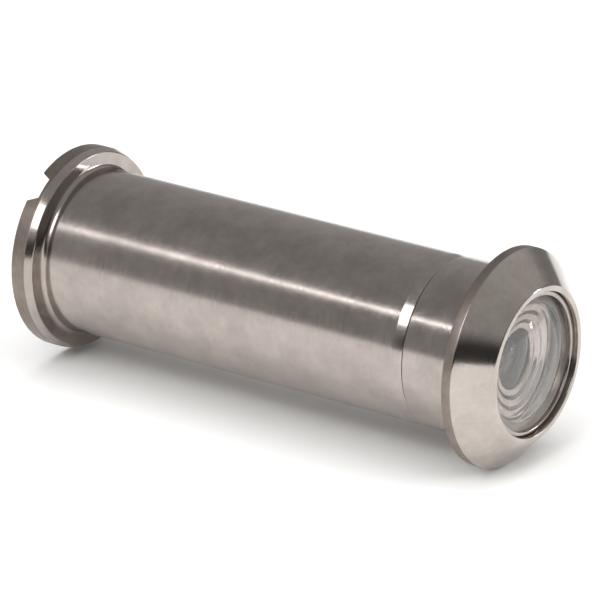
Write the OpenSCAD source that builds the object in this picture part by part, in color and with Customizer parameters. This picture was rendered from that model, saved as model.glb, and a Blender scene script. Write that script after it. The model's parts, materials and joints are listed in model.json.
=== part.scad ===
// Door viewer: a wide-angle peephole for a door leaf.
// An outer body (bezel, collar and threaded stem) holds the objective and the
// negative lens group. An inner sleeve with a slotted flange screws over the stem
// and carries the eyepiece, so its flange and the bezel clamp the door between them.
// Millimetres. The viewing axis is Y: the street side is -Y and the room side is +Y.
// The origin is on the axis, in the plane of the bezel's seat on the door's outer face.

/* [Barrel] */
// Outside diameter of everything that passes through the door
barrel_d = 14; // [13.2:0.1:17]
// Length of the plain collar behind the bezel
collar_len = 5; // [3:0.1:8]
// Length of the threaded stem beyond the collar
stem_len = 30; // [24:0.5:38]
// Wall of the sleeve outside the stem's thread
sleeve_wall = 0.92; // [0.7:0.01:1.2]
// Wall of the stem between its thread's core and its bore
stem_wall = 0.8; // [0.6:0.01:1]

/* [Thread] */
// Height of the stem's thread, from core to crest
thread_h = 0.6; // [0.45:0.01:0.72]
// Radial room between the thread's crests and the sleeve's relief bore
crest_room = 0.08; // [0.06:0.01:0.12]
// Radial running clearance between the two threads, at their pitch diameter
thread_play = 0.04; // [0.03:0.01:0.06]
// Plain relief beside the collar, where the stem's thread runs out
thread_relief = 1.3; // [1:0.1:2]
// Threaded length inside the sleeve's mouth
sleeve_thread_len = 12; // [8:1:16]

/* [Bezel] */
// How far the bezel overhangs the barrel all round
bezel_overhang = 2; // [1.5:0.1:3]
// Height of the bezel from its seat to its lip
bezel_h = 3.25; // [3:0.05:4]
// Width of the bezel's straight rim
bezel_rim = 0.85; // [0.6:0.05:1.2]
// Width of the flat lip round the objective opening
lip_w = 0.45; // [0.3:0.05:0.8]
// Wall of the body outside the objective opening
opening_wall = 1.05; // [0.9:0.05:1.3]

/* [Flange] */
// How far the sleeve's flange overhangs the barrel all round
flange_overhang = 1.65; // [1.2:0.05:2.5]
// Thickness of the flange
flange_t = 2; // [1.7:0.05:2.6]
// Length of the flange's taper towards the door
taper_len = 0.7; // [0.5:0.05:1.1]
// How far that taper draws in
taper_drop = 0.3; // [0.15:0.05:0.5]
// Fillet at the flange's root
root_fillet = 0.5; // [0.3:0.05:0.6]
// Width of the coin slot at its floor
slot_w = 1.9; // [1.5:0.1:2.6]
// How much wider the coin slot is at the room face
slot_splay = 1; // [0:0.1:1.2]
// Depth of the coin slot
slot_depth = 1; // [0.8:0.05:1.2]
// Angle of the coin slot round the axis, from upright towards -X
slot_angle = 38; // [0:1:180]

/* [Objective] */
// How far the objective's ring sits below the lip
ring_sink = 0.4; // [0.35:0.05:0.8]
// How far the top of the objective's dome stays below the lip
dome_inset = 0.1; // [0.05:0.05:0.15]
// Thickness of the ring that holds the objective
objective_ring_t = 0.35; // [0.3:0.05:0.6]
// Width of the ring that holds the objective
objective_ring_w = 0.4; // [0.35:0.05:0.6]
// Width of the objective's flat rim, under its ring
objective_rim = 0.3; // [0.2:0.05:0.35]
// Edge thickness of the objective
objective_edge = 0.7; // [0.6:0.05:0.9]
// Depth of the hollow in the objective's back
objective_hollow = 0.9; // [0.5:0.05:0.95]
// Width of the flat round that hollow
hollow_rim = 1; // [0.8:0.05:1.3]
// Thickness of the seal ring under the objective
seal_t = 0.2; // [0.15:0.05:0.4]
// Depth of the tapered throat behind the objective
throat_depth = 1.1; // [0.8:0.05:1.6]
// Diameter of the throat's narrow end
throat_d = 4.9; // [4.4:0.1:6]

/* [Lens group] */
// Edge thickness of the second lens
second_edge = 2.2; // [1.8:0.1:3]
// Depth of the hollow in the second lens's back
second_hollow = 1.4; // [0.8:0.05:1.6]
// Length of the spacer between the second lens and the stop
spacer_len = 1.4; // [1:0.1:2.5]
// Thickness of the aperture stop
stop_t = 0.3; // [0.2:0.05:0.5]
// Diameter of the stop's aperture
stop_d = 4.4; // [3:0.1:5.4]
// Edge thickness of the third lens
third_edge = 2.4; // [2:0.1:3]
// Depth of the hollow in each face of the third lens
third_hollow = 0.7; // [0.4:0.05:0.8]
// Width of the flat rim on the two lenses inside the stem
lens_rim = 0.95; // [0.7:0.05:1.2]
// Thickness of the ring that closes the stem
stem_ring_t = 1.5; // [1.2:0.1:2]
// Wall of the baffle tube
baffle_wall = 0.9; // [0.7:0.05:1.1]
// Depth of the anti-glare grooves inside the baffle tube
baffle_groove = 0.3; // [0.2:0.05:0.4]
// Spacing of those grooves
baffle_pitch = 1.6; // [1.2:0.1:2.4]

/* [Eyepiece] */
// Wall of the sleeve round the eyepiece
eyepiece_wall = 1.7; // [1.3:0.05:2.2]
// Air gap between the stem's end and the eyepiece's ledge
stem_gap = 0.8; // [0.5:0.1:1.5]
// Thickness of the ledge that the eyepiece rests on
ledge_t = 1.2; // [0.9:0.1:1.6]
// Width of that ledge, of the cushion on it and of the ring that holds the eyepiece
ledge_w = 0.9; // [0.7:0.05:1.2]
// Thickness of the cushion ring on the ledge
cushion_t = 0.3; // [0.2:0.05:0.5]
// Edge thickness of the eyepiece
eyepiece_edge = 2; // [1.6:0.1:2.6]
// How far each face of the eyepiece bulges
eyepiece_rise = 0.7; // [0.4:0.05:0.9]
// Thickness of the ring that holds the eyepiece
eyepiece_ring_t = 1.2; // [1:0.1:1.6]
// Depth of the eye cup, from the room face to that ring
cup_depth = 2.6; // [2:0.1:3.5]
// How far the eye cup flares outward at the room face
cup_flare = 1; // [0.6:0.05:1.2]

/* [Fits and edges] */
// Radial clearance of a ring, spacer or lens in its bore
bore_clearance = 0.04; // [0.02:0.01:0.06]
// Axial play on each side of the eyepiece
eyepiece_play = 0.02; // [0.01:0.01:0.04]
// Gap between the sleeve's mouth and the collar when screwed home
seam_gap = 0.16; // [0.03:0.01:0.2]
// Small chamfer on turned edges
edge = 0.12; // [0.08:0.01:0.16]
// Length of the eased edge at the sleeve's mouth
mouth_ease = 0.9; // [0.5:0.1:1.4]
// How far that eased edge draws in
mouth_drop = 0.16; // [0.08:0.01:0.2]
// Width of the spanner notches in the stem ring and the eyepiece ring
notch_w = 1; // [0.8:0.1:1.4]
// Depth of those spanner notches
notch_depth = 0.5; // [0.3:0.05:0.7]

/* [Hidden] */

through = 1;        // how far a cutter runs past the face that it cuts
overlap = 0.15;     // how far a lens's bulge reaches into its rim, so the two are one solid
fillet_steps = 6;
brass = "silver";
black = "dimgray";
glass = "lightblue";

// Radii, from the barrel's outside inward
barrel_r = barrel_d / 2;
relief_bore_r = barrel_r - sleeve_wall;             // in the sleeve, clear of the thread's crests
thread_crest_r = relief_bore_r - crest_room;
core_r = thread_crest_r - thread_h;
stem_r = (thread_crest_r + core_r) / 2;             // the thread's pitch radius
stem_bore_r = core_r - stem_wall;
bezel_r = barrel_r + bezel_overhang;
flange_r = barrel_r + flange_overhang;
slot_cut_w = slot_w + slot_splay * (slot_depth + through) / slot_depth;    // where the cutter ends
opening_r = barrel_r - opening_wall;
lip_r = opening_r + lip_w;
objective_ring_r = opening_r - bore_clearance;
objective_ring_bore_r = objective_ring_r - objective_ring_w;
dome_r = objective_ring_bore_r - bore_clearance;
objective_r = dome_r + objective_rim;
seat_r = objective_r + bore_clearance;
hollow_r = objective_r - hollow_rim;
throat_r = throat_d / 2;
insert_r = stem_bore_r - bore_clearance;            // every lens and ring in the stem
lens_clear_r = insert_r - lens_rim;
pocket_r = barrel_r - eyepiece_wall;
eyepiece_r = pocket_r - bore_clearance;
ledge_bore_r = pocket_r - ledge_w;
bulge_r = ledge_bore_r - bore_clearance;

// Places along the axis, from the lip to the room face
lip_y = -bezel_h;
objective_ring_y = lip_y + ring_sink;
objective_y = objective_ring_y + objective_ring_t;
objective_rise = objective_y - lip_y - dome_inset;
seal_y = objective_y + objective_edge;
throat_y = seal_y + seal_t;
second_y = throat_y + throat_depth;
spacer_y = second_y + second_edge;
stop_y = spacer_y + spacer_len;
third_y = stop_y + stop_t;
baffle_y = third_y + third_edge;
stem_end_y = collar_len + stem_len;
stem_ring_y = stem_end_y - edge - stem_ring_t;
baffle_len = stem_ring_y - baffle_y;
baffle_bore_r = insert_r - baffle_wall;
groove_count = floor(baffle_len / baffle_pitch) - 1;
mouth_y = collar_len + seam_gap;
thread_end_y = mouth_y + sleeve_thread_len;
ledge_y = stem_end_y + stem_gap;
cushion_y = ledge_y + ledge_t;
eyepiece_y = cushion_y + cushion_t + eyepiece_play;
eyepiece_ring_y = eyepiece_y + eyepiece_edge + eyepiece_play;
cup_y = eyepiece_ring_y + eyepiece_ring_t;
room_y = cup_y + cup_depth;
door_y = room_y - flange_t;

// Radius of the ball whose cap has half width a and depth d
function ball_radius(a, d) = (a * a + d * d) / (2 * d);

// Turns a closed profile of [radius, y] points about the viewing axis
module turned(profile) {
    rotate([-90, 0, 0]) rotate_extrude($fn = 96) polygon(profile);
}

// A plain ring whose street-side face is at y
module ring(outer_r, inner_r, y, len) {
    turned([[inner_r, y], [outer_r, y], [outer_r, y + len], [inner_r, y + len]]);
}

// A ring whose outer edges are chamfered by c
module eased_ring(outer_r, inner_r, y, len, c) {
    turned([[inner_r, y], [outer_r - c, y], [outer_r, y + c],
            [outer_r, y + len - c], [outer_r - c, y + len], [inner_r, y + len]]);
}

// A disc whose street-side face is at y
module disc(r, y, len) {
    translate([0, y, 0]) rotate([-90, 0, 0]) cylinder(r = r, h = len, $fn = 96);
}

// A ball that passes the plane y in a circle of radius a, and reaches d beyond it.
// dir is -1 towards the street and 1 towards the room.
module lens_ball(a, d, y, dir) {
    r = ball_radius(a, d);
    translate([0, y + dir * (d - r), 0]) rotate([-90, 0, 0]) sphere(r, $fn = 96);
}

// A lens face that bulges by rise from the plane y
module bulge(a, rise, y, dir) {
    intersection() {
        lens_ball(a, rise, y, dir);
        disc(a, dir > 0 ? y - overlap : y - rise - through, rise + overlap + through);
    }
}

// Two notches for a pin spanner in a ring's room-side face at y
module spanner_notches(r, y) {
    translate([-notch_w / 2, y - notch_depth, -r - through])
        cube([notch_w, notch_depth + through, 2 * (r + through)]);
}

// Bezel, collar and threaded stem: turned from one brass bar
module outer_body() {
    color(brass) turned([
        [throat_r, second_y], [hollow_r, throat_y],
        [seat_r, throat_y], [seat_r, objective_y],
        [opening_r, objective_y], [opening_r, lip_y + edge], [opening_r + edge, lip_y],
        [lip_r, lip_y], [bezel_r, -bezel_rim],
        [bezel_r, -edge], [bezel_r - edge, 0],
        [barrel_r, 0], [barrel_r, collar_len - edge], [barrel_r - edge, collar_len],
        [core_r, collar_len], [core_r, collar_len + thread_relief - edge],
        [stem_r, collar_len + thread_relief + edge],
        [stem_r, stem_end_y - 2 * edge], [stem_r - 2 * edge, stem_end_y],
        [stem_bore_r + edge, stem_end_y], [stem_bore_r, stem_end_y - edge],
        [stem_bore_r, second_y]]);
}

// Flat silicone ring between the objective and the body
module objective_seal() {
    color(black) ring(objective_r, hollow_r, seal_y, seal_t);
}

// Street-side lens: a shallow dome with a deep hollow behind it
module objective_lens() {
    color(glass) difference() {
        union() {
            disc(objective_r, objective_y, objective_edge);
            bulge(dome_r, objective_rise, objective_y, -1);
        }
        lens_ball(hollow_r, objective_hollow, seal_y, -1);
    }
}

// Ring that is pressed in over the objective's rim
module objective_ring() {
    color(brass) turned([
        [objective_ring_bore_r, objective_y], [objective_ring_bore_r, objective_ring_y + 2 * edge],
        [objective_ring_bore_r + edge, objective_ring_y], [objective_ring_r - edge, objective_ring_y],
        [objective_ring_r, objective_ring_y + edge], [objective_ring_r, objective_y]]);
}

// Second lens: flat towards the street, hollow towards the room
module second_lens() {
    color(glass) difference() {
        disc(insert_r, second_y, second_edge);
        lens_ball(lens_clear_r, second_hollow, spacer_y, -1);
    }
}

// Spacer between the second lens and the stop
module lens_spacer() {
    color(black) ring(insert_r, lens_clear_r, spacer_y, spacer_len);
}

// Thin disc with a hole, which cuts off stray light
module aperture_stop() {
    color(black) ring(insert_r, stop_d / 2, stop_y, stop_t);
}

// Third lens: hollow on both faces
module third_lens() {
    color(glass) difference() {
        disc(insert_r, third_y, third_edge);
        lens_ball(lens_clear_r, third_hollow, third_y, 1);
        lens_ball(lens_clear_r, third_hollow, baffle_y, -1);
    }
}

// Black tube that keeps the third lens in place, grooved inside against glare
module baffle_tube() {
    color(black) difference() {
        ring(insert_r, baffle_bore_r, baffle_y, baffle_len);
        for (i = [1:groove_count])
            let (y = baffle_y + i * baffle_pitch)
            turned([[baffle_bore_r - through, y - baffle_groove - through],
                    [baffle_bore_r + baffle_groove, y],
                    [baffle_bore_r - through, y + baffle_groove + through]]);
    }
}

// Ring that screws into the stem's end and holds the whole stack
module stem_ring() {
    color(brass) difference() {
        eased_ring(insert_r, lens_clear_r, stem_ring_y, stem_ring_t, edge);
        spanner_notches(insert_r, stem_ring_y + stem_ring_t);
    }
}

// Sleeve and slotted flange: turned from one brass bar
module inner_sleeve() {
    root = [for (i = [0:fillet_steps]) let (a = 90 * i / fillet_steps)
            [barrel_r + root_fillet * (1 - cos(a)), door_y - root_fillet * (1 - sin(a))]];
    color(brass) difference() {
        turned(concat([
            [stem_r + thread_play + 2 * edge, mouth_y], [barrel_r - mouth_drop, mouth_y],
            [barrel_r, mouth_y + mouth_ease]],
            root, [
            [flange_r - taper_drop, door_y], [flange_r, door_y + taper_len],
            [flange_r, room_y - edge], [flange_r - edge, room_y],
            [pocket_r + cup_flare, room_y], [pocket_r, cup_y], [pocket_r, cushion_y],
            [ledge_bore_r, cushion_y], [ledge_bore_r, ledge_y],
            [relief_bore_r, ledge_y], [relief_bore_r, thread_end_y + 2 * edge],
            [stem_r + thread_play, thread_end_y],
            [stem_r + thread_play, mouth_y + 2 * edge]]));
        rotate([0, -slot_angle, 0])
            linear_extrude(2 * (flange_r + through), center = true) polygon([
                [-slot_w / 2, room_y - slot_depth], [slot_w / 2, room_y - slot_depth],
                [slot_cut_w / 2, room_y + through], [-slot_cut_w / 2, room_y + through]]);
    }
}

// Flat cushion ring on the sleeve's ledge
module eyepiece_cushion() {
    color(black) ring(eyepiece_r, ledge_bore_r, cushion_y, cushion_t);
}

// Room-side lens, which bulges on both faces and floats between cushion and ring
module eyepiece_lens() {
    color(glass) union() {
        disc(eyepiece_r, eyepiece_y, eyepiece_edge);
        bulge(bulge_r, eyepiece_rise, eyepiece_y, -1);
        bulge(bulge_r, eyepiece_rise, eyepiece_y + eyepiece_edge, 1);
    }
}

// Ring that screws into the eye cup over the eyepiece
module eyepiece_ring() {
    color(black) difference() {
        eased_ring(eyepiece_r, ledge_bore_r, eyepiece_ring_y, eyepiece_ring_t, edge);
        spanner_notches(eyepiece_r, eyepiece_ring_y + eyepiece_ring_t);
    }
}

outer_body();
objective_seal();
objective_lens();
objective_ring();
second_lens();
lens_spacer();
aperture_stop();
third_lens();
baffle_tube();
stem_ring();
inner_sleeve();
eyepiece_cushion();
eyepiece_lens();
eyepiece_ring();
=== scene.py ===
import json
import math
import bpy
import bmesh
from mathutils import Matrix, Vector


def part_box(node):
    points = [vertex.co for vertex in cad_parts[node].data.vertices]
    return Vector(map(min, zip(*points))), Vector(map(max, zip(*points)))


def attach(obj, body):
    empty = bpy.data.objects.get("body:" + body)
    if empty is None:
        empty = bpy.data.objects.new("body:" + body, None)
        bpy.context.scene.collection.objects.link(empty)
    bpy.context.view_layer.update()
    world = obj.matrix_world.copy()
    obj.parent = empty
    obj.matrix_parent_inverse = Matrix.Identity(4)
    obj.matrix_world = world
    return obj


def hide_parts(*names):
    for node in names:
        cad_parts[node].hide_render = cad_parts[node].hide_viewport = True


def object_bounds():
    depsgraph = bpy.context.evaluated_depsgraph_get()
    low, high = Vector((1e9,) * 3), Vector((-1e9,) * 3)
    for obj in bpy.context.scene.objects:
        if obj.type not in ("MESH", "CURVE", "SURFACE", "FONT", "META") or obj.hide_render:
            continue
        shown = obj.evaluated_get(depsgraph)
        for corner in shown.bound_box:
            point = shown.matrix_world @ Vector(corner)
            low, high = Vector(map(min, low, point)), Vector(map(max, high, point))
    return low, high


# A door viewer (peephole): a nickel-plated brass barrel in two screwed halves that
# clamp a door between a bezel and a slotted flange, with a stack of lenses inside.
# The viewing axis is Y: the street is towards -Y and the room towards +Y.
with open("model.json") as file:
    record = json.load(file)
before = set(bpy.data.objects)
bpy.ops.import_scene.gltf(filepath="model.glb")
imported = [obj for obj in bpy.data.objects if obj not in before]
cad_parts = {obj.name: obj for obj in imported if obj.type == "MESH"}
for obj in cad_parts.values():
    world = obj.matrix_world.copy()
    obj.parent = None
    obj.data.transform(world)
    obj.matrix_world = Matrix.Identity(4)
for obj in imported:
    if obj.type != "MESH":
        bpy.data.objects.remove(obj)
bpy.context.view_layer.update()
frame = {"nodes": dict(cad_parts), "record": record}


# ---- Body: bezel, collar and threaded stem ---------------------------------------
# One bar of brass, turned on a lathe and nickel plated, with the fine rings of the
# tool left in it. The bezel covers the hole's edge on the street side of the door,
# the collar fills the hole, and the stem's thread takes the sleeve.
MM = 0.001
TAU = 2 * math.pi


def srgb(code, alpha=1.0):
    """Turns a hex colour into linear light."""
    part = [int(code[i:i + 2], 16) / 255 for i in (0, 2, 4)]
    return tuple(c / 12.92 if c <= 0.04045 else ((c + 0.055) / 1.055) ** 2.4
                 for c in part) + (alpha,)


def node(tree, kind, settings=None, **inputs):
    """Adds a node. An input is a value or another node's output. Its name has _ for a
    space, or is i and its number."""
    n = tree.nodes.new(kind)
    for k, v in (settings or {}).items():
        setattr(n, k, v)
    for k, v in inputs.items():
        numbered = k[0] == "i" and k[1:].isdigit()
        socket = n.inputs[int(k[1:]) if numbered else k.replace("_", " ")]
        if isinstance(v, bpy.types.NodeSocket):
            tree.links.new(v, socket)
        else:
            socket.default_value = v
    return n


def new_material(name, **shader):
    """A material with one Principled shader, its constants set on its own sockets."""
    m = bpy.data.materials.new(name)
    m.use_nodes = True
    tree = m.node_tree
    bsdf = tree.nodes["Principled BSDF"]
    for k, v in shader.items():
        bsdf.inputs[k.replace("_", " ")].default_value = v
    return m, tree, bsdf


def turned_metal(name, colour, tarnish, ring_mm, roughness, drag, dent, wear=0.0):
    """Metal from the lathe: rings ring_mm apart round Y, which drag each highlight
    along the barrel, with fine dents and a faint change of tone from handling. The
    finish grows duller by wear towards the flange, as the tool's edge wears."""
    m, tree, bsdf = new_material(name, Metallic=1.0, Anisotropic=drag)
    place = node(tree, "ShaderNodeTexCoord").outputs["Object"]
    axis = node(tree, "ShaderNodeSeparateXYZ", i0=place)
    across = node(tree, "ShaderNodeMath", {"operation": "POWER"}, i1=0.5, i0=node(
        tree, "ShaderNodeMath", {"operation": "ADD"},
        i0=node(tree, "ShaderNodeMath", {"operation": "MULTIPLY"},
                i0=axis.outputs["X"], i1=axis.outputs["X"]).outputs[0],
        i1=node(tree, "ShaderNodeMath", {"operation": "MULTIPLY"},
                i0=axis.outputs["Z"], i1=axis.outputs["Z"]).outputs[0]).outputs[0])
    # One number that grows along the bar and outward over its faces, so the rings
    # run round every turned surface, flat ones too
    along = node(tree, "ShaderNodeMath", {"operation": "ADD"},
                 i0=axis.outputs["Y"], i1=across.outputs[0])
    rings = node(tree, "ShaderNodeTexNoise", {"noise_dimensions": "1D"},
                 W=along.outputs[0], Scale=1 / (ring_mm * MM), Detail=3.0, Roughness=0.7)
    dents = node(tree, "ShaderNodeTexNoise", Vector=place, Scale=1 / (0.4 * MM),
                 Detail=4.0, Roughness=0.6)
    bloom = node(tree, "ShaderNodeTexNoise", Vector=place, Scale=1 / (2.6 * MM),
                 Detail=7.0, Roughness=0.72)
    tone = node(tree, "ShaderNodeValToRGB", Fac=bloom.outputs["Fac"])
    tone.color_ramp.elements[0].position, tone.color_ramp.elements[1].position = 0.32, 0.68
    tone.color_ramp.elements[0].color = srgb(tarnish)
    tone.color_ramp.elements[1].color = srgb(colour)
    tree.links.new(tone.outputs["Color"], bsdf.inputs["Base Color"])
    worn = node(tree, "ShaderNodeMapRange", Value=rings.outputs["Fac"],
                From_Min=0.3, From_Max=0.7, To_Min=roughness * 0.8, To_Max=roughness * 1.2)
    duller = node(tree, "ShaderNodeMapRange", Value=axis.outputs["Y"],
                  From_Min=8 * MM, From_Max=41 * MM, To_Min=0.0, To_Max=wear)
    tree.links.new(node(tree, "ShaderNodeMath", {"operation": "ADD"}, i0=worn.outputs[0],
                        i1=duller.outputs[0]).outputs[0], bsdf.inputs["Roughness"])
    tree.links.new(node(tree, "ShaderNodeTangent", {"direction_type": "RADIAL", "axis": "Y"}).outputs[0],
                   bsdf.inputs["Tangent"])
    dented = node(tree, "ShaderNodeBump", Strength=dent, Distance=0.02 * MM, Height=dents.outputs["Fac"])
    ringed = node(tree, "ShaderNodeBump", Strength=0.12, Distance=0.01 * MM,
                  Height=rings.outputs["Fac"], Normal=dented.outputs[0])
    tree.links.new(ringed.outputs[0], bsdf.inputs["Normal"])
    return m


def rounded(corners):
    """Replaces each (radius, y, rounding) corner by an arc, in millimetres."""
    out = []
    n = len(corners)
    for i, (r, y, cut) in enumerate(corners):
        here = Vector((r, y))
        back = Vector(corners[i - 1][:2]) - here
        ahead = Vector(corners[(i + 1) % n][:2]) - here
        if not cut:
            out.append(here)
            continue
        cut = min(cut, back.length * 0.45, ahead.length * 0.45)
        a, b = here + back.normalized() * cut, here + ahead.normalized() * cut
        for k in range(6):
            t = k / 5
            out.append(a * (1 - t) ** 2 + here * 2 * t * (1 - t) + b * t * t)
    return out


def lathe(name, corners, steps=192):
    """Turns a closed profile round Y into one mesh object."""
    outline = rounded(corners)
    bm = bmesh.new()
    rows = []
    for k in range(steps):
        s, c = math.sin(TAU * k / steps), math.cos(TAU * k / steps)
        rows.append([bm.verts.new((p.x * MM * s, p.y * MM, p.x * MM * c)) for p in outline])
    for k in range(steps):
        a, b = rows[k], rows[(k + 1) % steps]
        for i in range(len(outline)):
            j = (i + 1) % len(outline)
            bm.faces.new((a[i], a[j], b[j], b[i]))
    bmesh.ops.recalc_face_normals(bm, faces=bm.faces)
    return keep(name, bm)


def keep(name, bm, sharp=35):
    """Makes the finished mesh an object, smooth except at edges sharper than sharp degrees."""
    mesh = bpy.data.meshes.new(name)
    bm.to_mesh(mesh)
    bm.free()
    mesh.shade_smooth()
    mesh.set_sharp_from_angle(angle=math.radians(sharp))
    piece = bpy.data.objects.new(name, mesh)
    bpy.context.scene.collection.objects.link(piece)
    return piece


def dress(piece, material, body, slot, *nodes):
    """Gives a piece its finish, hangs it on the empty of the body it rides on, and hides the parts it
    stands for.
    """
    piece.data.materials.clear()
    piece.data.materials.append(material)
    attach(piece, body)
    if nodes:
        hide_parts(*nodes)


def refinish(piece, material, test):
    """Gives a second finish to the faces whose (radius, y, outwardness) pass the test."""
    piece.data.materials.append(material)
    for f in piece.data.polygons:
        r = math.hypot(f.center.x, f.center.z)
        outward = (f.normal.x * f.center.x + f.normal.z * f.center.z) / r
        if test(r / MM, f.center.y / MM, outward):
            f.material_index = len(piece.data.materials) - 1


def screw_ridge(name, foot, crest, foot_w, crest_w, start, end, pitch, shift=0.0, steps=48):
    """One right-hand thread ridge between the planes start and end. It fades in and
    out over its first and last turn, as a thread that the tool runs into."""
    turns = (end - start) / pitch
    count = int(turns * steps)
    bm = bmesh.new()
    last = None
    for k in range(count + 1):
        y = start + (end - start) * k / count
        angle = TAU * (y - shift) / pitch
        grown = min(1.0, 0.04 + k / steps, 0.04 + (count - k) / steps)
        top = foot + (crest - foot) * grown
        s, c = math.sin(angle), math.cos(angle)
        section = ((foot, -foot_w / 2), (top, -crest_w / 2), (top, crest_w / 2), (foot, foot_w / 2))
        ring = [bm.verts.new((r * MM * s, (y + dy) * MM, r * MM * c)) for r, dy in section]
        if last:
            for i in range(4):
                bm.faces.new((last[i], last[(i + 1) % 4], ring[(i + 1) % 4], ring[i]))
        else:
            bm.faces.new(ring)
        last = ring
    bm.faces.new(last[::-1])
    bmesh.ops.recalc_face_normals(bm, faces=bm.faces)
    return keep(name, bm, 25)


# The tool's rings are drawn 0.15 to 0.25 mm apart, wider than a lathe leaves them, so
# that they show. The cone is drawn as polished, and the two rims as left rough.
nickel = turned_metal("satin_nickel_on_turned_brass", "B3AAA5", "9E9691", 0.25, 0.14, 0.75, 0.07,
                      wear=0.04)
crisp = turned_metal("crisp_nickel_bevel", "B3AAA5", "9E9691", 0.25, 0.14, 0.5, 0.12)
polished = turned_metal("polished_nickel_cone", "C4BCB6", "ADA49E", 0.25, 0.10, 0.5, 0.16)
coarse = turned_metal("coarse_nickel_rim", "958A83", "7D736C", 0.15, 0.44, 0.2, 0.5)

FIT = 0.04          # clearance between a piece and its bore
SEAT_W = 1.0        # flat seat under the objective's rim
LIP_W = 0.45        # flat lip round the opening
RIM_W = 0.85        # straight rim of the bezel
SEAM = 0.12         # dark line between collar and sleeve
UNDERCUT = 1.3      # plain neck between collar and thread
SUNK = 0.03         # how far a thread's foot is sunk in its bar
body_lo, body_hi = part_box("outer_body")
BEZEL_R = body_hi.x / MM
LIP_Y = body_lo.y / MM
STEM_END = body_hi.y / MM
BARREL_R = frame["record"]["mounts"][0]["dims"]["r_mm"]
OPENING_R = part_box("objective_ring")[1].x / MM + FIT
SEAT_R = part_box("objective_lens")[1].x / MM + FIT
SEAT_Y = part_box("objective_ring")[1].y / MM
FLOOR_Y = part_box("objective_seal")[1].y / MM
STEM_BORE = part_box("second_lens")[1].x / MM + FIT
SECOND_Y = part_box("second_lens")[0].y / MM
COLLAR_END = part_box("inner_sleeve")[0].y / MM - SEAM
CREST_R, CORE_R, PITCH = 6.0, 5.4, 1.0     # M12 x 1
THROAT_R, FUNNEL_R = 2.45, SEAT_R - FIT - SEAT_W
# The funnel goes down to the throat in three shallow turned steps with eased edges
STEPS = 3
funnel = [(THROAT_R + (FUNNEL_R - THROAT_R) * (k + tread) / STEPS,
           SECOND_Y + (FLOOR_Y - SECOND_Y) * (k + 0.5) / STEPS, 0.12)
          for k in range(STEPS) for tread in (0.2, 0.8)]
body = lathe("bezel_collar_and_stem", [(THROAT_R, SECOND_Y, 0)] + funnel + [
    (FUNNEL_R, FLOOR_Y, 0.05), (SEAT_R, FLOOR_Y, 0),
    (SEAT_R, SEAT_Y, 0.03), (OPENING_R, SEAT_Y, 0), (OPENING_R, LIP_Y, 0.1),
    (OPENING_R + LIP_W, LIP_Y, 0.12), (BEZEL_R, -RIM_W, 0.12), (BEZEL_R, 0, 0.1),
    (BARREL_R, 0, 0.05), (BARREL_R, COLLAR_END, 0.1), (CORE_R, COLLAR_END, 0.1),
    (CORE_R, STEM_END, 0.2), (STEM_BORE, STEM_END, 0.12), (STEM_BORE, SECOND_Y, 0)])
dress(body, nickel, "viewer_body", "nickel_plated_brass", "outer_body")
refinish(body, polished, lambda r, y, out: y < -RIM_W - 0.01 and r > OPENING_R)
refinish(body, coarse, lambda r, y, out: r > BEZEL_R - 0.02)

# The thread is cut in the same bar. Its 60 degree flanks leave an eighth of the
# pitch flat at the crest.
FLANK = 2 * math.tan(math.radians(30))
thread = screw_ridge("stem_thread", CORE_R - SUNK, CREST_R,
                     PITCH / 8 + FLANK * (CREST_R - CORE_R + SUNK) - 0.06, PITCH / 8 - 0.02,
                     COLLAR_END + UNDERCUT, STEM_END - 0.6, PITCH)
dress(thread, nickel, "viewer_body", "nickel_plated_brass")


# ---- Objective and what holds it --------------------------------------------------
# The street-side lens: clear crown glass with a shallow dome, hollowed deep behind.
# It drops in from the front onto a flat silicone ring, and a thin plated ring is
# pressed in over its rim.
def cap(half_width, rise, y, steps=24):
    """Points (radius, y) from the rim of a spherical face to its middle."""
    big = (half_width ** 2 + rise ** 2) / (2 * abs(rise))
    sign = 1 if rise > 0 else -1
    reach = math.asin(half_width / big)
    return [(big * math.sin(reach * (1 - k / steps)),
             y + sign * (big * math.cos(reach * (1 - k / steps)) - (big - abs(rise))))
            for k in range(steps + 1)]


def lens(name, rim_r, front_y, back_y, front, back, steps=128):
    """A glass whose faces are (half width, rise) caps; a rise above 0 is towards the room."""
    side = cap(*front, front_y)[::-1]
    rear = cap(*back, back_y)
    ease = 0.06
    outline = side + [(rim_r - ease, front_y), (rim_r, front_y + ease),
                      (rim_r, back_y - ease), (rim_r - ease, back_y)] + rear
    bm = bmesh.new()
    first = bm.verts.new((0, outline[0][1] * MM, 0))
    final = bm.verts.new((0, outline[-1][1] * MM, 0))
    rows = []
    for k in range(steps):
        s, c = math.sin(TAU * k / steps), math.cos(TAU * k / steps)
        rows.append([bm.verts.new((r * MM * s, y * MM, r * MM * c)) for r, y in outline[1:-1]])
    for k in range(steps):
        a, b = rows[k], rows[(k + 1) % steps]
        bm.faces.new((first, a[0], b[0]))
        bm.faces.new((final, b[-1], a[-1]))
        for i in range(len(a) - 1):
            bm.faces.new((a[i], a[i + 1], b[i + 1], b[i]))
    bmesh.ops.recalc_face_normals(bm, faces=bm.faces)
    return keep(name, bm, 20)


def clear_glass(name, colour):
    """Polished crown glass: smooth, with a trace of dust that dulls it in patches."""
    m, tree, bsdf = new_material(name, Transmission_Weight=1.0, IOR=1.52)
    bsdf.inputs["Base Color"].default_value = srgb(colour)
    place = node(tree, "ShaderNodeTexCoord").outputs["Object"]
    dust = node(tree, "ShaderNodeTexNoise", Vector=place, Scale=1 / (1.8 * MM), Detail=6.0)
    haze = node(tree, "ShaderNodeMapRange", Value=dust.outputs["Fac"],
                From_Min=0.45, From_Max=0.75, To_Min=0.0, To_Max=0.05)
    tree.links.new(haze.outputs[0], bsdf.inputs["Roughness"])
    return m


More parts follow.
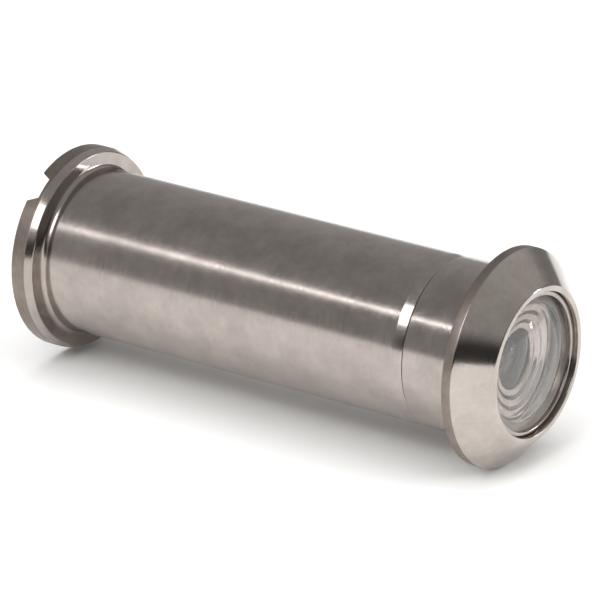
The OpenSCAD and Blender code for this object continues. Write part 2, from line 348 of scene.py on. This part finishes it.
def ground_glass(name, colour):
    """Glass left pale from grinding: it scatters the light that passes through it."""
    m, tree, bsdf = new_material(name, Transmission_Weight=0.1, IOR=1.52, Roughness=0.5)
    place = node(tree, "ShaderNodeTexCoord").outputs["Object"]
    pits = node(tree, "ShaderNodeTexNoise", Vector=place, Scale=1 / (0.15 * MM), Detail=4.0)
    tone = node(tree, "ShaderNodeMixRGB", Fac=pits.outputs["Fac"],
                Color1=srgb(colour), Color2=srgb("EDE8E3"))
    tree.links.new(tone.outputs[0], bsdf.inputs["Base Color"])
    bump = node(tree, "ShaderNodeBump", Strength=0.4, Distance=0.01 * MM, Height=pits.outputs["Fac"])
    tree.links.new(bump.outputs[0], bsdf.inputs["Normal"])
    return m


glass = clear_glass("polished_crown_glass", "FCFBF9")
ground = ground_glass("ground_glass_edge", "F8F4F0")
lens_lo, lens_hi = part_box("objective_lens")
RING_WALL, HOLLOW = 0.4, 0.9
RING_BORE = OPENING_R - FIT - RING_WALL
DOME_R = RING_BORE - FIT
OBJECTIVE_R = lens_hi.x / MM
objective = lens("objective_glass", OBJECTIVE_R, SEAT_Y, lens_hi.y / MM,
                 (DOME_R, -(SEAT_Y - lens_lo.y / MM)), (OBJECTIVE_R - SEAT_W, -HOLLOW))
dress(objective, glass, "viewer_body", "clear_glass", "objective_lens")
# Clear glass hardly shades what lies behind it, so here it casts no shadow at all
objective.visible_shadow = False
# Its edge, and the flat round its hollow that lies on the seal, are left as ground
refinish(objective, ground, lambda r, y, out: r > OBJECTIVE_R - SEAT_W + 0.05
         and (out > 0.5 or y > lens_hi.y / MM - 0.08))

ring_lo, ring_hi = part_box("objective_ring")
objective_ring = lathe("objective_retaining_ring", [
    (RING_BORE, ring_hi.y / MM, 0.03), (RING_BORE, ring_lo.y / MM, 0.15),
    (ring_hi.x / MM, ring_lo.y / MM, 0.1), (ring_hi.x / MM, ring_hi.y / MM, 0.03)])
dress(objective_ring, nickel, "viewer_body", "nickel_plated_brass", "objective_ring")


def soft_rubber(name, colour, grain_colour, clearness=0.0):
    """Moulded rubber, or silicone that lets light through: dull, with its mould's faint grain."""
    m, tree, bsdf = new_material(name, Roughness=0.55, Specular_IOR_Level=0.35, IOR=1.41,
                                 Transmission_Weight=clearness)
    place = node(tree, "ShaderNodeTexCoord").outputs["Object"]
    grain = node(tree, "ShaderNodeTexNoise", Vector=place, Scale=1 / (0.2 * MM), Detail=3.0)
    tone = node(tree, "ShaderNodeMixRGB", Fac=grain.outputs["Fac"],
                Color1=srgb(colour), Color2=srgb(grain_colour))
    tree.links.new(tone.outputs[0], bsdf.inputs["Base Color"])
    bump = node(tree, "ShaderNodeBump", Strength=0.3, Distance=0.02 * MM, Height=grain.outputs["Fac"])
    tree.links.new(bump.outputs[0], bsdf.inputs["Normal"])
    return m


silicone = soft_rubber("pale_silicone", "F2EEE9", "E4DED8", clearness=0.3)
frame["nodes"]["objective_seal"].data.materials.clear()
frame["nodes"]["objective_seal"].data.materials.append(silicone)


# ---- Lens stack in the stem --------------------------------------------------------
# Two more glasses, a black spacer, a stop and a grooved black tube slide into the
# stem's bore, and a bare brass ring with two spanner notches screws in behind them.
def black_moulding(name, colour):
    """Black ABS with a fine spark-eroded texture, which keeps light from glaring."""
    m, tree, bsdf = new_material(name, IOR=1.53)
    place = node(tree, "ShaderNodeTexCoord").outputs["Object"]
    grit = node(tree, "ShaderNodeTexNoise", Vector=place, Scale=1 / (0.12 * MM), Detail=4.0)
    tone = node(tree, "ShaderNodeMixRGB", Fac=grit.outputs["Fac"],
                Color1=srgb(colour), Color2=srgb("262524"))
    tree.links.new(tone.outputs[0], bsdf.inputs["Base Color"])
    dull = node(tree, "ShaderNodeMapRange", Value=grit.outputs["Fac"],
                From_Min=0.3, From_Max=0.7, To_Min=0.45, To_Max=0.62)
    tree.links.new(dull.outputs[0], bsdf.inputs["Roughness"])
    bump = node(tree, "ShaderNodeBump", Strength=0.4, Distance=0.015 * MM, Height=grit.outputs["Fac"])
    tree.links.new(bump.outputs[0], bsdf.inputs["Normal"])
    return m


black = black_moulding("matt_black_abs", "141413")
brass = turned_metal("bare_turned_brass", "D9B36A", "C39A52", 0.25, 0.24, 0.5, 0.1)
for name, finish in (("second_lens", glass), ("third_lens", glass), ("lens_spacer", black),
                     ("aperture_stop", black), ("baffle_tube", black), ("stem_ring", brass)):
    frame["nodes"][name].data.materials.clear()
    frame["nodes"][name].data.materials.append(finish)


# ---- Sleeve and slotted flange -----------------------------------------------------
# One turned and plated brass piece. Its mouth is threaded inside and screws over the
# stem, and its flange has a coin slot across the room face, milled after turning.
THREAD_LEN = 12             # thread in the sleeve's mouth
STEM_GAP = 0.8              # from the stem's end to the eyepiece's ledge
LEDGE_W = 0.9               # ledge that the eyepiece's cushion lies on
CUP_FLARE = 1.0             # how much the eye cup widens
BEVEL_IN, BEVEL_LEN = 0.16, 0.9     # bevel at the mouth
TAPER_IN, TAPER_LEN = 0.3, 0.7      # taper on the flange's door side
ROOT = 0.5                  # fillet where the flange meets the barrel
sleeve_lo, sleeve_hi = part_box("inner_sleeve")
FLANGE_R = sleeve_hi.x / MM
MOUTH_Y = sleeve_lo.y / MM
ROOM_Y = sleeve_hi.y / MM
DOOR_Y = frame["record"]["mounts"][2]["pos_m"][1] / MM
RELIEF_R = CREST_R + 0.08
THREAD_END = MOUTH_Y + THREAD_LEN
LEDGE_Y = STEM_END + STEM_GAP
POCKET_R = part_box("eyepiece_ring")[1].x / MM + FIT
CUSHION_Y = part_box("eyepiece_cushion")[0].y / MM
CUP_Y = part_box("eyepiece_ring")[1].y / MM
LEDGE_BORE = POCKET_R - LEDGE_W
GROOVE_R = CREST_R + 0.02
sleeve = lathe("screw_sleeve_and_flange", [
    (GROOVE_R, MOUTH_Y, 0.1), (BARREL_R - BEVEL_IN, MOUTH_Y, 0.06),
    (BARREL_R, MOUTH_Y + BEVEL_LEN, 0.08), (BARREL_R, DOOR_Y, ROOT),
    (FLANGE_R - TAPER_IN, DOOR_Y, 0.1), (FLANGE_R, DOOR_Y + TAPER_LEN, 0.08),
    (FLANGE_R, ROOM_Y, 0.12), (POCKET_R + CUP_FLARE, ROOM_Y, 0.15), (POCKET_R, CUP_Y, 0.05),
    (POCKET_R, CUSHION_Y, 0), (LEDGE_BORE, CUSHION_Y, 0.08), (LEDGE_BORE, LEDGE_Y, 0.08),
    (RELIEF_R, LEDGE_Y, 0), (RELIEF_R, THREAD_END, 0.05), (GROOVE_R, THREAD_END - 0.2, 0)], 256)


def mill(piece, section, reach, turn):
    """Cuts a prism out of a piece: its (x, y) section runs from -reach to reach along Z
    and is then turned about Y."""
    bm = bmesh.new()
    face = bm.faces.new([bm.verts.new((x, y, -reach)) for x, y in section])
    pushed = bmesh.ops.extrude_face_region(bm, geom=[face])["geom"]
    far_end = [v for v in pushed if isinstance(v, bmesh.types.BMVert)]
    bmesh.ops.translate(bm, vec=(0, 0, 2 * reach), verts=far_end)
    bmesh.ops.recalc_face_normals(bm, faces=bm.faces)
    bmesh.ops.transform(bm, verts=bm.verts,
                        matrix=Matrix.Rotation(turn, 4, "Y") @ Matrix.Scale(MM, 4))
    mesh = bpy.data.meshes.new("cutter")
    bm.to_mesh(mesh)
    bm.free()
    cutter = bpy.data.objects.new("cutter", mesh)
    bpy.context.scene.collection.objects.link(cutter)
    cut = piece.modifiers.new("cut", "BOOLEAN")
    cut.operation, cut.solver, cut.object = "DIFFERENCE", "EXACT", cutter
    held = bpy.data.meshes.new_from_object(
        piece.evaluated_get(bpy.context.evaluated_depsgraph_get()))
    piece.modifiers.clear()
    piece.data = held
    bpy.data.objects.remove(cutter)
    held.shade_smooth()
    held.set_sharp_from_angle(angle=math.radians(35))


# The slot's sides splay, so it is 1 mm wider at the face than on its floor. The cutter
# runs on past the face by the slot's depth.
SLOT_W, SLOT_DEPTH, SLOT_SPLAY, SLOT_TURN = 1.9, 1.0, 0.5, math.radians(-38)
floor_half = SLOT_W / 2
cutter_half = floor_half + 2 * SLOT_DEPTH * SLOT_SPLAY
mill(sleeve, [(-floor_half, ROOM_Y - SLOT_DEPTH), (floor_half, ROOM_Y - SLOT_DEPTH),
              (cutter_half, ROOM_Y + SLOT_DEPTH), (-cutter_half, ROOM_Y + SLOT_DEPTH)],
     FLANGE_R + 1, SLOT_TURN)
dress(sleeve, nickel, "sleeve", "nickel_plated_brass", "inner_sleeve")
refinish(sleeve, coarse, lambda r, y, out: r > FLANGE_R - 0.02 and out > 0.7)
refinish(sleeve, crisp, lambda r, y, out: y < MOUTH_Y + BEVEL_LEN and out > 0.7
         or BARREL_R + 0.01 < r < FLANGE_R - 0.02
         and DOOR_Y - ROOT - 0.1 < y < DOOR_Y + TAPER_LEN + 0.01)

# The sleeve's own thread sits half a pitch from the stem's, so the two mesh at rest
# and stay in mesh, because the sleeve moves one pitch for each turn.
TIP_R = CORE_R + 0.06
inner_thread = screw_ridge("sleeve_thread", GROOVE_R + SUNK, TIP_R,
                           PITCH / 8 + FLANK * (GROOVE_R + SUNK - TIP_R) - 0.1, PITCH / 8,
                           MOUTH_Y + 0.3, THREAD_END - 0.5, PITCH, shift=PITCH / 2)
dress(inner_thread, nickel, "sleeve", "nickel_plated_brass")


# ---- Eyepiece ----------------------------------------------------------------------
# The room-side glass bulges on both faces. It lies on a soft cushion in the eye cup,
# and a black ring screws in over it.
eye_lo, eye_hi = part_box("eyepiece_lens")
BULGE = 0.7
eyepiece = lens("eyepiece_glass_lens", eye_hi.x / MM,
                eye_lo.y / MM + BULGE, eye_hi.y / MM - BULGE,
                (LEDGE_BORE - FIT, -BULGE), (LEDGE_BORE - FIT, BULGE))
dress(eyepiece, glass, "eyepiece_glass", "clear_glass", "eyepiece_lens")
eyepiece.visible_shadow = False
rubber = soft_rubber("black_nitrile_rubber", "181817", "2B2A29")
for name, finish in (("eyepiece_ring", black), ("eyepiece_cushion", rubber)):
    frame["nodes"][name].data.materials.clear()
    frame["nodes"][name].data.materials.append(finish)


# ---- Studio -------------------------------------------------------------------------
# A white sweep under the viewer, a long narrow light beside the barrel that draws the
# line along it, and soft fill from above.
floor_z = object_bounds()[0].z
bm = bmesh.new()
bmesh.ops.create_grid(bm, x_segments=8, y_segments=8, size=6.0,
                      matrix=Matrix.Translation((0, 0, floor_z)))
sweep = keep("sweep", bm)
paper, tree, bsdf = new_material("white_paper_sweep", Roughness=0.9)
fibre = node(tree, "ShaderNodeTexNoise", Scale=40.0, Detail=2.0)
white = node(tree, "ShaderNodeMixRGB", Fac=fibre.outputs["Fac"],
             Color1=srgb("F7F7F6"), Color2=srgb("FAFAF9"))
tree.links.new(white.outputs[0], bsdf.inputs["Base Color"])
sweep.data.materials.append(paper)


def soft_light(name, place, aim, size, watts, glossy=True):
    """A rectangular studio light at place, turned to aim. Its second size lies along Y.
    Without glossy it lights things, but is not itself seen in metal or through glass."""
    data = bpy.data.lights.new(name, "AREA")
    data.shape, data.energy = "RECTANGLE", watts
    data.size, data.size_y = size
    lamp = bpy.data.objects.new(name, data)
    away = (Vector(place) - Vector(aim)).normalized()
    side = Vector((0, 1, 0)).cross(away).normalized()
    lamp.matrix_world = Matrix.Translation(place) @ Matrix(
        (side, away.cross(side), away)).transposed().to_4x4()
    lamp.visible_camera = False
    lamp.visible_glossy = lamp.visible_transmission = glossy
    bpy.context.scene.collection.objects.link(lamp)
    return lamp


middle = Vector((0, 0.02, 0))
# A narrow strip beyond the flange draws the line along the barrel, and a box abreast of
# it lights the bevels. A small one puts the glint in the glass. The overhead and the
# street fill light the sweep and what lies behind the glass.
soft_light("strip", (-0.43, 0.55, 0.42), (0, 0.55, 0), (0.03, 0.8), 0.5)
soft_light("side_box", (-0.57, 0.02, 0.55), middle, (0.36, 0.46), 2.4)
soft_light("glint", (0.60, -0.51, 0.06), (0, 0, 0), (0.06, 0.06), 0.45)
soft_light("overhead", (0.0, 0.02, 1.2), middle, (1.6, 1.6), 12.5, glossy=False)
soft_light("street_fill", (0.25, -1.0, 0.5), middle, (0.8, 0.8), 7.0, glossy=False)

# The room is pale grey, lighter on the far side, and unlit low down on the near street side
world = bpy.data.worlds.new("studio_room")
bpy.context.scene.world = world
world.use_nodes = True
tree = world.node_tree
ray = node(tree, "ShaderNodeSeparateXYZ", i0=node(tree, "ShaderNodeTexCoord").outputs["Generated"])


def fade(value, start, end, low, high):
    """A smooth change from low to high while value goes from start to end."""
    return node(tree, "ShaderNodeMapRange", {"interpolation_type": "SMOOTHSTEP"}, Value=value,
                From_Min=start, From_Max=end, To_Min=low, To_Max=high).outputs[0]


room = fade(ray.outputs["X"], 0.0, 0.8, 0.37, 0.46)
unlit = fade(ray.outputs["X"], -0.1, 0.3, 0.12, 0.6)
street = fade(ray.outputs["Z"], 0.20, 0.42, unlit, 1.15)
lit = fade(ray.outputs["Y"], 0.0, 0.35, street, 1.0)
# The gradients show only in what the metal and glass reflect. Seen directly, the room
# is one plain tone.
plain = node(tree, "ShaderNodeMath", {"operation": "MAXIMUM"}, i0=lit,
             i1=node(tree, "ShaderNodeLightPath").outputs["Is Camera Ray"])
strength = node(tree, "ShaderNodeMath", {"operation": "MULTIPLY"}, i0=room, i1=plain.outputs[0])
tree.links.new(strength.outputs[0], tree.nodes["Background"].inputs["Strength"])
tree.nodes["Background"].inputs["Color"].default_value = srgb("FFFEFC")

view = bpy.context.scene.view_settings
view.view_transform, view.look = "Standard", "None"

# Camera: a long lens, a little above the barrel, looking along it from the street side
camera_data = bpy.data.cameras.new("camera")
camera_data.lens, camera_data.sensor_width = 257.0, 36.0
camera_data.clip_start = 0.01
camera = bpy.data.objects.new("camera", camera_data)
camera.location = (-0.26492, -0.16915, 0.12816)
back = Vector((-0.75769, -0.54045, 0.36587)).normalized()
camera.rotation_mode = "QUATERNION"
camera.rotation_quaternion = (-back).to_track_quat("-Z", "Y")
bpy.context.scene.collection.objects.link(camera)
bpy.context.scene.camera = camera
